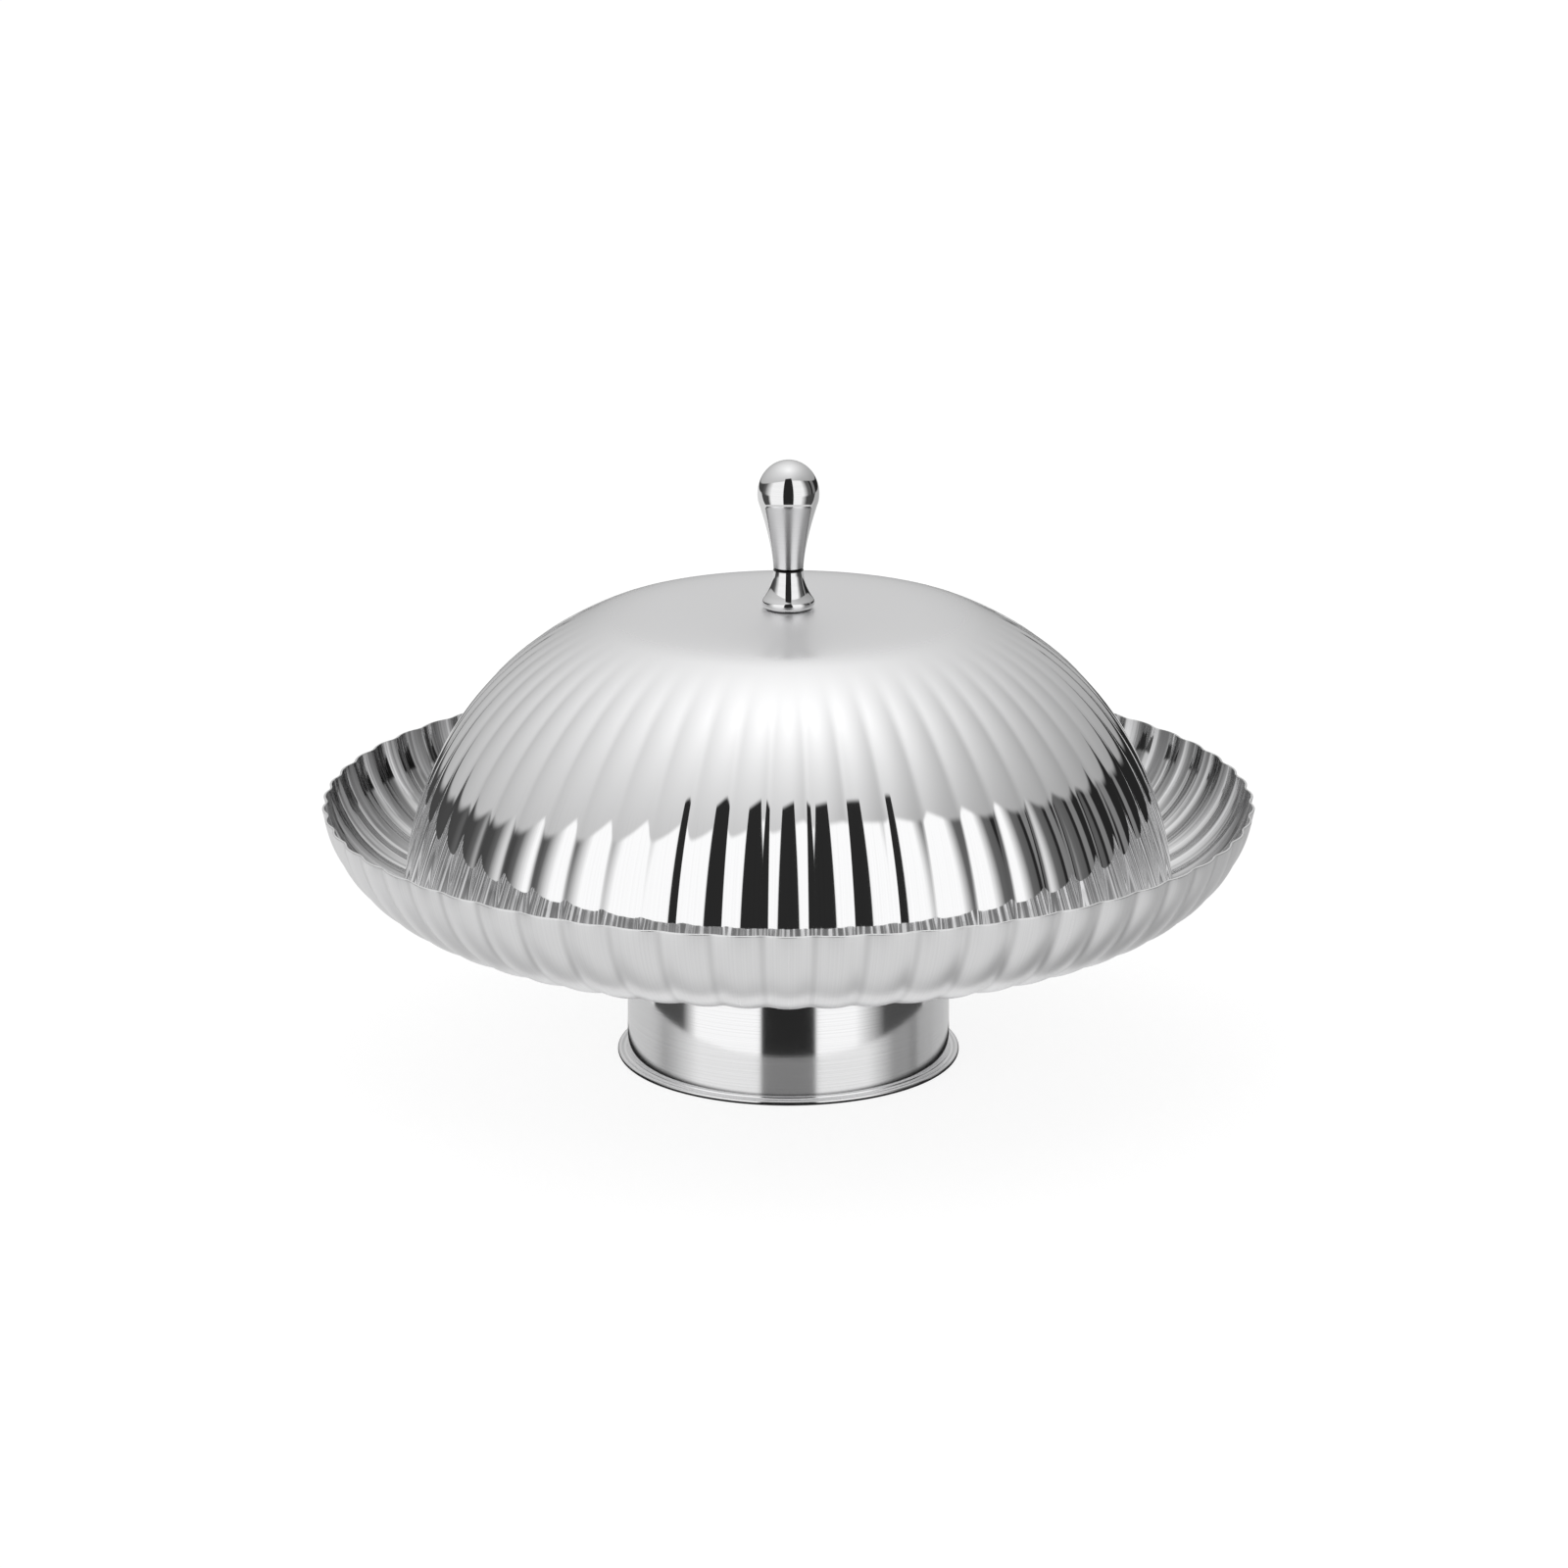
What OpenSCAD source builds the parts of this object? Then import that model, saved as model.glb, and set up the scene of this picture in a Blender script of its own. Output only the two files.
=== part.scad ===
// Fluted serving dish on a pedestal foot, covered by a fluted dome lid with a turned knob.
// Millimetres. +Z points up, and the origin is on the table at the centre of the foot.

/* [Dish] */
// Diameter of the dish across the humps of its rim
dish_d = 380; // [350:1:430]
// Outside radius of the rounded wall
dish_wall_r = 50; // [42:1:60]
// Steepness of the wall at the rim, in degrees
rim_steep = 80; // [66:1:88]
// Thickness of the dish's sheet
dish_sheet = 1; // [0.6:0.1:1.6]
// Number of flutes round the dish
dish_flutes = 60; // [40:2:72]
// Depth of a flute at the rim, crest to groove
dish_flute_depth = 1.4; // [0.6:0.1:2]
// Distance that the flutes run in across the floor
dish_flute_run = 26; // [14:1:40]
// Height of the rounded humps along the rim
rim_hump = 0.8; // [0.4:0.1:3]

/* [Foot] */
// Height of the foot, from the table to the dish
foot_h = 67.5; // [40:0.5:100]
// Diameter of the foot's wall at the dish
foot_top_d = 132.4; // [110:0.2:150]
// Diameter of the foot's wall above the flare
foot_low_d = 133.2; // [110:0.2:136]
// Diameter across the rolled bead
foot_bead_d = 141.4; // [139:0.2:160]
// Thickness of the rolled bead
foot_bead_t = 3.8; // [3:0.1:5]
// Radius of the flare between the wall and the bead
foot_flare_r = 5; // [3:0.5:9]
// Width of the flat that the bead stands on
foot_land_w = 1.6; // [0.8:0.1:2.4]
// Thickness of the foot's sheet
foot_sheet = 1; // [0.6:0.1:1.6]
// Width of the flange that is welded under the dish
foot_flange_w = 13; // [6:0.5:24]

/* [Lid] */
// Distance from the dish's rim in to the lid's edge
lid_inset = 32.5; // [25:0.5:40]
// Height from the lid's edge to the top of the rounded shoulder
lid_shoulder_h = 118.9; // [100:0.1:130]
// Diameter inside the shoulder's rounding
lid_crown_d = 80; // [50:1:110]
// Distance that the wall draws in from the edge to the crown, beside its rounding
lid_draw = 7.5; // [3:0.1:14]
// Thickness of the lid's sheet
lid_sheet = 0.9; // [0.6:0.1:1.5]
// Number of flutes round the lid
lid_flutes = 56; // [40:2:72]
// Depth of a flute at the lid's edge, crest to groove
lid_flute_depth = 1.4; // [0.6:0.1:2]
// Diameter of the smooth crown where the flutes begin
lid_flute_start_d = 160; // [140:1:190]
// Distance over which the flutes grow to their full depth
lid_flute_blend = 40; // [20:1:60]
// Diameter of the flat on the crown under the knob
knob_seat_d = 24; // [22:0.5:32]

/* [Knob] */
// Height of the ferrule between the lid and the grip
ferrule_h = 16.5; // [13:0.5:24]
// Diameter of the ferrule's rounded lip
ferrule_lip_d = 21.4; // [17:0.2:22]
// Radius of the ferrule's rounded lip
ferrule_lip_r = 2.5; // [1.5:0.1:3.5]
// Diameter of the knob's neck, at the seam of ferrule and grip
knob_neck_d = 12.3; // [10:0.1:15]
// Height of the grip
grip_h = 44.5; // [38:0.5:60]
// Diameter of the grip's egg-shaped head
grip_head_d = 25; // [20:0.5:32]
// Height of the head above its widest line
grip_crown_h = 13.7; // [11:0.1:18]
// Depth of the head from its widest line down to the crease
grip_brow_h = 3.3; // [1.5:0.1:6]
// Bevel on both sides of the seam
seam_bevel = 0.5; // [0.2:0.1:1]

/* [Fastening] */
// Diameter of the screw
screw_d = 5; // [4:0.5:6]
// Length of the screw inside the grip
screw_reach = 13; // [8:0.5:20]
// Diameter of the screw's head
screw_head_d = 9.5; // [8:0.1:11]
// Height of the screw's head
screw_head_h = 3.2; // [2.4:0.1:4]
// Diameter of the flat washer
washer_d = 15; // [12:0.5:20]
// Thickness of the flat washer
washer_t = 1; // [0.6:0.1:1.6]
// Diameter of the split lock washer
lock_washer_d = 9.2; // [8.6:0.1:11]
// Thickness of the split lock washer
lock_washer_t = 1.2; // [0.8:0.1:1.6]

/* [Hidden] */

// Gap between the resting lid and the dish
seat_gap = 0.3;
// Spare diameter of the holes that the screw passes through
screw_clear = 0.5;
// Spare diameter and depth of the threaded hole in the grip
thread_clear = 0.1;
tip_clear = 1;
// How far a cut runs past the solid that it cuts
overrun = 1;
// Width of the lock washer's split, and sizes of the cross in the screw's head
split_w = 1.2;
cross_w = 1.1;
cross_l = 5.2;
cross_depth = 1.8;
// Curve of the crown: 2 is a plain dome, and more is flatter in the middle
crown_power = 8;
// Curve of the grip's taper: 1 is a cone, and more is hollower
taper_power = 1.5;
// Share of the screw head's height that is rounded
head_round_share = 0.7;

// Mesh counts: columns across one flute, and bands along each stretch of a profile
flute_steps = 4;
lid_bands = 6;
crown_bands = 4;
run_bands = 2;
wall_bands = 3;
arc_steps = 16;
$fn = 96;

// Diameter of the lid across the flute crests at its edge
lid_d = dish_d - 2 * lid_inset;

// Dish: centre of the wall's arc, and the angle at which the lid's edge meets the wall
dish_columns = dish_flutes * flute_steps;
wall_centre_r = dish_d / 2 - dish_wall_r * sin(rim_steep) - rim_hump * cos(rim_steep);
wall_centre_z = foot_h + dish_wall_r;
ridge_r = dish_wall_r - dish_sheet - dish_flute_depth;
seat_angle = asin((lid_d / 2 - wall_centre_r) / ridge_r);
flute_start_r = wall_centre_r - dish_flute_run;

// Lid: its edge rests on the ridges inside the dish
lid_columns = lid_flutes * flute_steps;
lid_edge_z = wall_centre_z - ridge_r * cos(seat_angle) + seat_gap;
shoulder_w = lid_d / 2 - lid_crown_d / 2 - lid_draw;
lid_start_angle = acos((lid_flute_start_d / 2 - lid_crown_d / 2 - lid_draw)
    / norm([shoulder_w, lid_draw])) - atan(lid_draw / shoulder_w);
crown_r = lid_flute_start_d / 2;
crown_slope = lid_normal(lid_start_angle).x / lid_normal(lid_start_angle).y;
knob_z = crown_z(knob_seat_d / 2);

// Knob and fastening: heights of the seam and of the stack under the crown
seam_z = knob_z + ferrule_h;
washer_z = knob_z - lid_sheet - washer_t;
lock_washer_z = washer_z - lock_washer_t;
screw_hole_d = screw_d + screw_clear;

// Smooth step from 0 to 1
function ease(x) = let (s = max(0, min(1, x))) s * s * (3 - 2 * s);

// Depth of a flute at one column: 0 on the rounded crest and 1 in the sharp groove
function groove(column) =
    let (step = column % flute_steps)
    pow(2 * min(step, flute_steps - step) / flute_steps, 2);

// Point at a radius, a height and a column of a ring
function ring_point(r, z, column, columns) =
    let (angle = 360 * column / columns)
    [r * cos(angle), r * sin(angle), z];

// Plain ring of a profile point
function round_ring(profile, columns) =
    [for (column = [0 : columns - 1]) ring_point(profile.x, profile.y, column, columns)];

// Profile of the lid's wall and shoulder, from its edge at 0 to the crown at lid_start_angle
function lid_r(t) = lid_crown_d / 2 + shoulder_w * cos(t) + lid_draw * (1 - sin(t));
function lid_z(t) = lid_edge_z + lid_shoulder_h * sin(t);
function lid_normal(t) =
    let (n = [lid_shoulder_h * cos(t), shoulder_w * sin(t) + lid_draw * cos(t)])
    n / norm(n);
function lid_groove_depth(t) =
    lid_flute_depth * lid_r(t) / (lid_d / 2)
    * ease((lid_r(t) - lid_flute_start_d / 2) / lid_flute_blend);

// Fluted ring of the lid, set in from the crests' outside by inset
function lid_ring(t, inset) = [
    for (column = [0 : lid_columns - 1])
    let (sink = inset + lid_groove_depth(t) * groove(column), n = lid_normal(t))
    ring_point(lid_r(t) - n.x * sink, lid_z(t) - n.y * sink, column, lid_columns)
];

// Height of the crown at a radius: it flattens towards the knob and runs tangent into the shoulder
function crown_z(r) =
    lid_z(lid_start_angle) + crown_r * crown_slope / crown_power * (1 - pow(r / crown_r, crown_power));

// Profile point of the crown at a radius, set in by inset
function crown_point(r, inset) =
    let (tilt = atan(crown_slope * pow(r / crown_r, crown_power - 1)))
    [r - inset * sin(tilt), crown_z(r) - inset * cos(tilt)];

// Rings of one side of the lid, from the middle of the crown to the edge
function lid_side(inset) = [
    [[0, 0, knob_z - inset]],
    round_ring([knob_seat_d / 2, knob_z - inset], lid_flutes),
    for (band = [1 : crown_bands - 1])
        round_ring(crown_point(crown_r * pow(band / crown_bands, 1 / 3), inset), lid_flutes),
    for (band = [lid_bands : -1 : 0]) lid_ring(lid_start_angle * band / lid_bands, inset),
];

// Fluted ring of the dish: r and z on the crests' outside, with the outward slant of the wall there
function dish_ring(r, z, slant, hump, inset) =
    let (
        run = (r - flute_start_r) / (lid_d / 2 - flute_start_r),
        depth = dish_flute_depth * r / (dish_d / 2) * ease(run)
    ) [
        for (column = [0 : dish_columns - 1])
        let (
            sink = inset + depth * groove(column),
            rise = hump * (1 - groove(column))
        )
        ring_point(
            r - sin(slant) * sink + cos(slant) * rise,
            z + cos(slant) * sink + sin(slant) * rise,
            column, dish_columns
        )
    ];

// Fluted ring of the dish on the rounded wall
function wall_ring(slant, hump, inset) = dish_ring(
    wall_centre_r + dish_wall_r * sin(slant), wall_centre_z - dish_wall_r * cos(slant), slant, hump, inset
);

// Rings of one side of the dish, from the middle of the floor to the rim
function dish_side(inset) = [
    [[0, 0, foot_h + inset]],
    for (band = [0 : run_bands - 1])
        dish_ring(flute_start_r + dish_flute_run * band / run_bands, foot_h, 0, 0, inset),
    wall_ring(0, 0, inset),
    for (band = [0 : wall_bands])
        wall_ring(
            seat_angle + (rim_steep - seat_angle) * band / wall_bands,
            band == wall_bands ? rim_hump : 0, inset
        ),
];

function reverse(list) = [for (i = [len(list) - 1 : -1 : 0]) list[i]];

// Triangles between a ring of p points from index a and a ring of q points from index b, q a multiple of p
function fan(a, p, b, q, flip) = [
    for (j = [0 : p - 1])
    let (m = q / p, half = floor(m / 2), next = (j + 1) % p)
    each [
        for (i = [0 : 1 : half - 1]) triangle(a + j, b + m * j + i, b + (m * j + i + 1) % q, flip),
        if (p > 1) triangle(a + j, b + m * j + half, a + next, flip),
        for (i = [half : 1 : m - 1]) triangle(a + next, b + m * j + i, b + (m * j + i + 1) % q, flip),
    ]
];
function triangle(i, j, k, flip) = flip ? [i, j, k] : [i, k, j];
function band(a, p, b, q) = p <= q ? fan(a, p, b, q, false) : fan(b, q, a, p, true);

// Closed skin through rings that run out along its upper side and back along its under side
module skin(rings) {
    counts = [for (ring = rings) len(ring)];
    starts = [for (i = 0, sum = 0; i < len(counts); sum = sum + counts[i], i = i + 1) sum];
    polyhedron(
        points = [for (ring = rings) each ring],
        faces = [
            for (i = [0 : len(rings) - 2])
            each band(starts[i], counts[i], starts[i + 1], counts[i + 1])
        ]
    );
}

// Points of an arc about [x, y], from one angle to another
function arc(x, y, r, from, to) = [
    for (i = [0 : arc_steps])
    let (angle = from + (to - from) * i / arc_steps)
    [x + r * cos(angle), y + r * sin(angle)]
];

module serving_bowl() {
    color("gainsboro") skin(concat(dish_side(dish_sheet), reverse(dish_side(0))));
}

// Spun foot: a slightly conical wall with a flange on top, flared below into a rolled bead
module foot_ring() {
    bead_r = foot_bead_t / 2;
    bead_x = foot_bead_d / 2 - bead_r;
    bead_z = sqrt(pow(bead_r, 2) - pow(foot_land_w / 2, 2));
    flare_x = foot_low_d / 2 + foot_flare_r;
    flare_z = bead_z + sqrt(pow(foot_flare_r + bead_r, 2) - pow(flare_x - bead_x, 2));
    flare_end = 180 + atan((flare_z - bead_z) / (flare_x - bead_x));
    inner_top_r = foot_top_d / 2 - foot_sheet;
    color("silver") difference() {
        union() {
            rotate_extrude() polygon(concat(
                [[foot_top_d / 2 - foot_flange_w, foot_h], [foot_top_d / 2, foot_h]],
                arc(flare_x, flare_z, foot_flare_r, 180, flare_end),
                [[bead_x, bead_z]],
                arc(flare_x, flare_z, foot_flare_r + foot_sheet, flare_end, 180),
                [
                    [inner_top_r, foot_h - foot_sheet],
                    [foot_top_d / 2 - foot_flange_w, foot_h - foot_sheet],
                ]
            ));
            translate([0, 0, bead_z]) rotate_extrude() translate([bead_x, 0]) circle(r = bead_r);
        }
        translate([0, 0, -overrun - foot_bead_t])
            cylinder(d = foot_bead_d + overrun, h = overrun + foot_bead_t);
    }
}

module lid_dome() {
    color("whitesmoke") difference() {
        skin(concat(lid_side(0), reverse(lid_side(lid_sheet))));
        translate([0, 0, knob_z - lid_sheet - overrun])
            cylinder(d = screw_hole_d, h = lid_sheet + 2 * overrun);
    }
}

// Waisted collar whose hollow side runs tangent into its rounded lip
module knob_ferrule() {
    neck_r = knob_neck_d / 2;
    lip_x = ferrule_lip_d / 2 - ferrule_lip_r;
    rise = ferrule_h - seam_bevel - ferrule_lip_r;
    waist_r = (pow(rise, 2) + pow(neck_r - lip_x, 2) - pow(ferrule_lip_r, 2))
        / (2 * (ferrule_lip_r + lip_x - neck_r));
    waist_x = neck_r + waist_r;
    meet = atan(rise / (waist_x - lip_x));
    color("gray") translate([0, 0, knob_z]) difference() {
        rotate_extrude() polygon(concat(
            [[0, 0]],
            arc(lip_x, ferrule_lip_r, ferrule_lip_r, -90, meet),
            arc(waist_x, ferrule_h - seam_bevel, waist_r, 180 + meet, 180),
            [[neck_r - seam_bevel, ferrule_h], [0, ferrule_h]]
        ));
        translate([0, 0, -overrun]) cylinder(d = screw_hole_d, h = ferrule_h + 2 * overrun);
    }
}

// Egg-shaped head on a hollow taper, with a crease where they meet
module knob_grip() {
    neck_r = knob_neck_d / 2;
    head_r = grip_head_d / 2;
    head_z = grip_h - grip_crown_h;
    brow = asin(grip_brow_h / grip_crown_h);
    crease_r = head_r * cos(brow);
    crease_z = head_z - grip_brow_h;
    color("gray") translate([0, 0, seam_z]) difference() {
        rotate_extrude() polygon(concat(
            [[0, 0], [neck_r - seam_bevel, 0]],
            [
                for (i = [0 : arc_steps])
                let (s = i / arc_steps)
                [
                    neck_r + (crease_r - neck_r) * pow(s, taper_power),
                    seam_bevel + (crease_z - seam_bevel) * s,
                ]
            ],
            [
                for (i = [1 : 2 * arc_steps])
                let (angle = -brow + (90 + brow) * i / (2 * arc_steps))
                [i < 2 * arc_steps ? head_r * cos(angle) : 0, head_z + grip_crown_h * sin(angle)]
            ]
        ));
        translate([0, 0, -overrun])
            cylinder(d = screw_d + thread_clear, h = screw_reach + tip_clear + overrun);
    }
}

// Pan-head screw that comes up through the crown and the ferrule into the grip
module knob_screw() {
    head_r = screw_head_d / 2;
    round_h = screw_head_h * head_round_share;
    color("darkgray") translate([0, 0, lock_washer_z]) difference() {
        union() {
            rotate_extrude() polygon(concat(
                [[0, 0], [head_r, 0]],
                [
                    for (i = [0 : arc_steps])
                    let (angle = 90 * i / arc_steps)
                    [
                        head_r - round_h + round_h * cos(angle),
                        round_h - screw_head_h - round_h * sin(angle),
                    ]
                ],
                [[0, -screw_head_h]]
            ));
            cylinder(d = screw_d, h = seam_z + screw_reach - lock_washer_z);
        }
        for (turn = [0, 90])
            rotate([0, 0, turn])
            translate([-cross_l / 2, -cross_w / 2, -screw_head_h - overrun])
            cube([cross_l, cross_w, cross_depth + overrun]);
    }
}

module knob_washer() {
    color("lightgray") translate([0, 0, washer_z]) difference() {
        cylinder(d = washer_d, h = washer_t);
        translate([0, 0, -overrun]) cylinder(d = screw_hole_d, h = washer_t + 2 * overrun);
    }
}

module knob_lock_washer() {
    color("dimgray") translate([0, 0, lock_washer_z]) difference() {
        cylinder(d = lock_washer_d, h = lock_washer_t);
        translate([0, 0, -overrun]) cylinder(d = screw_hole_d, h = lock_washer_t + 2 * overrun);
        translate([0, -split_w / 2, -overrun])
            cube([lock_washer_d, split_w, lock_washer_t + 2 * overrun]);
    }
}

serving_bowl();
foot_ring();
lid_dome();
knob_ferrule();
knob_grip();
knob_screw();
knob_washer();
knob_lock_washer();
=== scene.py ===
"""A fluted serving dish on a pedestal foot, covered by a fluted dome lid with a turned knob.

Lengths are in metres and angles in degrees. +Z is up, -Y faces the camera, and the origin is on the
table at the centre of the foot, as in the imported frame.
"""

from __future__ import annotations

import logging
import math
from dataclasses import dataclass, replace
from enum import Enum
from typing import Callable, Sequence, Union

import bpy
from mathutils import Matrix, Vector


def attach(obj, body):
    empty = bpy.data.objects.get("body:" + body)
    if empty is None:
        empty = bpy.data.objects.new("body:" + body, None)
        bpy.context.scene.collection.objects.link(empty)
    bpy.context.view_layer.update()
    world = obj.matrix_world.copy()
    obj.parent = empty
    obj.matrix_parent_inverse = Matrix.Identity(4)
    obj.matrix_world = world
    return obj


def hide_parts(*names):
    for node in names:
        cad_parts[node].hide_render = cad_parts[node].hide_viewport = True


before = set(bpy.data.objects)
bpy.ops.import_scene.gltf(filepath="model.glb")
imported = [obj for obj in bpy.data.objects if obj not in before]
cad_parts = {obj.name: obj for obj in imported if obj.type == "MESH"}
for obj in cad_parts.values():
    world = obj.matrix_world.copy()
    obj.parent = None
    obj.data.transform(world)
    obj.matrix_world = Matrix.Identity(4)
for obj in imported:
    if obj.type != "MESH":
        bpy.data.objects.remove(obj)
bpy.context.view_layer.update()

log = logging.getLogger("serving_dish")

Point = tuple[float, float]
SoftEdge = tuple[float, float]
Colour = tuple[float, float, float, float]
Setting = Union[float, int, bool, str, tuple, list]

WHITE = (1.0, 1.0, 1.0, 1.0)
SEED_SIZE = 0.001
MERGE_GAP = 1e-6


class Body(Enum):
    """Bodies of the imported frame."""

    BASE = "base"
    LID = "lid"


class Grain(Enum):
    """How a steel surface was worked last."""

    POLISHED = "polished"
    BUFFED = "buffed"
    SPUN = "spun"


def sin(angle: float) -> float:
    """Sine of an angle in degrees."""
    return math.sin(math.radians(angle))


def cos(angle: float) -> float:
    """Cosine of an angle in degrees."""
    return math.cos(math.radians(angle))


def ease(x: float) -> float:
    """Smooth step from 0 to 1."""
    s = max(0.0, min(1.0, x))
    return s * s * (3 - 2 * s)


def steps(start: float, end: float, count: int) -> list[float]:
    """Evenly spaced values from start to end, both included."""
    return [start + (end - start) * i / count for i in range(count + 1)]


def arc(centre: Point, radius: float, start: float, end: float, count: int) -> list[Point]:
    """Points of an arc.

    Args:
        centre: Centre of the arc, as radius and height.
        radius: Radius of the arc.
        start: Angle of the first point.
        end: Angle of the last point.
        count: Number of chords.

    Returns:
        The points, first and last included.
    """
    return [
        (centre[0] + radius * cos(angle), centre[1] + radius * sin(angle))
        for angle in steps(start, end, count)
    ]


def groove_share(point: Vector, flutes: int, crest: float) -> float:
    """Depth of a flute at a point: 0 on a rounded crest and 1 at the bottom of a groove.

    Args:
        point: Place on the fluted shell.
        flutes: Number of flutes round the shell, with a crest on the X axis.
        crest: Share of a flute that its rounded crest takes. The rounded groove takes the rest.

    Returns:
        The share of the full depth.
    """
    turn = math.atan2(point.y, point.x) / math.tau * flutes
    across = 2 * abs(turn - round(turn))
    if across < crest:
        return across**2 / crest
    return 1 - (1 - across) ** 2 / (1 - crest)


class Wire:
    """A socket that takes part in arithmetic: each operator adds a Math node."""

    def __init__(self, graph: Graph, socket: bpy.types.NodeSocket) -> None:
        """Wraps a socket of a graph."""
        self.graph = graph
        self.socket = socket

    def __add__(self, other: Number) -> Wire:
        """Sum."""
        return self.graph.maths("ADD", self, other)

    __radd__ = __add__

    def __mul__(self, other: Number) -> Wire:
        """Product."""
        return self.graph.maths("MULTIPLY", self, other)

    __rmul__ = __mul__

    def __sub__(self, other: Number) -> Wire:
        """Difference."""
        return self.graph.maths("SUBTRACT", self, other)

    def __rsub__(self, other: Number) -> Wire:
        """Difference from a number."""
        return self.graph.maths("SUBTRACT", other, self)

    def __truediv__(self, other: Number) -> Wire:
        """Quotient."""
        return self.graph.maths("DIVIDE", self, other)

    def __neg__(self) -> Wire:
        """Opposite."""
        return self.graph.maths("MULTIPLY", self, -1.0)

    def __abs__(self) -> Wire:
        """Absolute value."""
        return self.graph.maths("ABSOLUTE", self)

    def root(self) -> Wire:
        """Square root."""
        return self.graph.maths("SQRT", self)

    def above(self, edge: float, softness: float) -> Wire:
        """Smooth step that is 0 below an edge and 1 above it.

        Args:
            edge: Middle of the step.
            softness: Half of the step's width.

        Returns:
            The step.
        """
        return self.graph.node(
            "ShaderNodeMapRange",
            {"interpolation_type": "SMOOTHSTEP"},
            {"Value": self, "From Min": edge - softness, "From Max": edge + softness},
        )

    def below(self, edge: float, softness: float) -> Wire:
        """Smooth step that is 1 below an edge and 0 above it."""
        return 1.0 - self.above(edge, softness)

    def towards(self, other: Number, share: Wire) -> Wire:
        """Blend of this value and another by a share."""
        return self + share * (other - self)


Number = Union[Wire, float]


class Graph:
    """Node tree that is being wired."""

    def __init__(self, tree: bpy.types.NodeTree) -> None:
        """Empties a tree."""
        self.tree = tree
        tree.nodes.clear()

    def node(
        self,
        kind: str,
        settings: dict[str, Setting] | None = None,
        inputs: dict[str | int, Setting | Wire] | None = None,
        out: str | int = 0,
    ) -> Wire:
        """Adds a node.

        Args:
            kind: The node's type.
            settings: Its settings, which are set first.
            inputs: Values or wires for its sockets.
            out: The output to return.

        Returns:
            The chosen output.
        """
        made = self.tree.nodes.new(kind)
        for name, value in (settings or {}).items():
            setattr(made, name, value)
        for name, value in (inputs or {}).items():
            if isinstance(value, Wire):
                self.tree.links.new(value.socket, made.inputs[name])
            else:
                made.inputs[name].default_value = value
        return Wire(self, made.outputs[out] if len(made.outputs) else made.inputs[0])

    def maths(self, operation: str, *values: Number) -> Wire:
        """Adds one Math node for an operation on values."""
        return self.node("ShaderNodeMath", {"operation": operation}, dict(enumerate(values)))

    def axes(self, place: Wire) -> list[Wire]:
        """Splits a vector into its three axes."""
        split = self.node("ShaderNodeSeparateXYZ", inputs={"Vector": place})
        return [Wire(self, socket) for socket in split.socket.node.outputs]

    def radius(self, x: Wire, y: Wire) -> Wire:
        """Distance from the axis."""
        return (x * x + y * y).root()

    def noise(self, place: Wire, width: float, detail: float) -> Wire:
        """Soft noise from 0 to 1 with patches of a given width."""
        inputs = {"Vector": place, "Scale": 1 / width, "Detail": detail}
        return self.node("ShaderNodeTexNoise", inputs=inputs)

    def lines(self, along: Wire, width: float, detail: float = 3.0) -> Wire:
        """Random lines across one coordinate, of a given width."""
        inputs = {"W": along / width, "Scale": 1.0, "Detail": detail}
        return self.node("ShaderNodeTexNoise", {"noise_dimensions": "1D"}, inputs)

    def ramp(self, along: Wire, stops: Sequence[Point]) -> Wire:
        """Values that run from stop to stop.

        Args:
            along: Place along the ramp, from 0 to 1.
            stops: Places in rising order, each with its value.

        Returns:
            The value at the place.
        """
        made = self.node("ShaderNodeValToRGB", inputs={0: along})
        elements = made.socket.node.color_ramp.elements
        while len(elements) < len(stops):
            elements.new(1.0)
        for element, (place, value) in zip(elements, stops):
            element.position = place
            element.color = (value, value, value, 1.0)
        return made

    def blend(self, first: Colour | Wire, second: Colour | Wire, share: Wire) -> Wire:
        """Mixes two colours.

        Args:
            first: Colour at a share of 0.
            second: Colour at a share of 1.
            share: Share of the second colour.

        Returns:
            The mixed colour.
        """
        mixed = self.node("ShaderNodeMix", {"data_type": "RGBA"}, {"Factor": share})
        for name, value in (("A_Color", first), ("B_Color", second)):
            socket = next(s for s in mixed.socket.node.inputs if s.identifier == name)
            if isinstance(value, Wire):
                self.tree.links.new(value.socket, socket)
            else:
                socket.default_value = value
        return Wire(self, next(s for s in mixed.socket.node.outputs if s.identifier == "Result_Color"))


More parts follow.
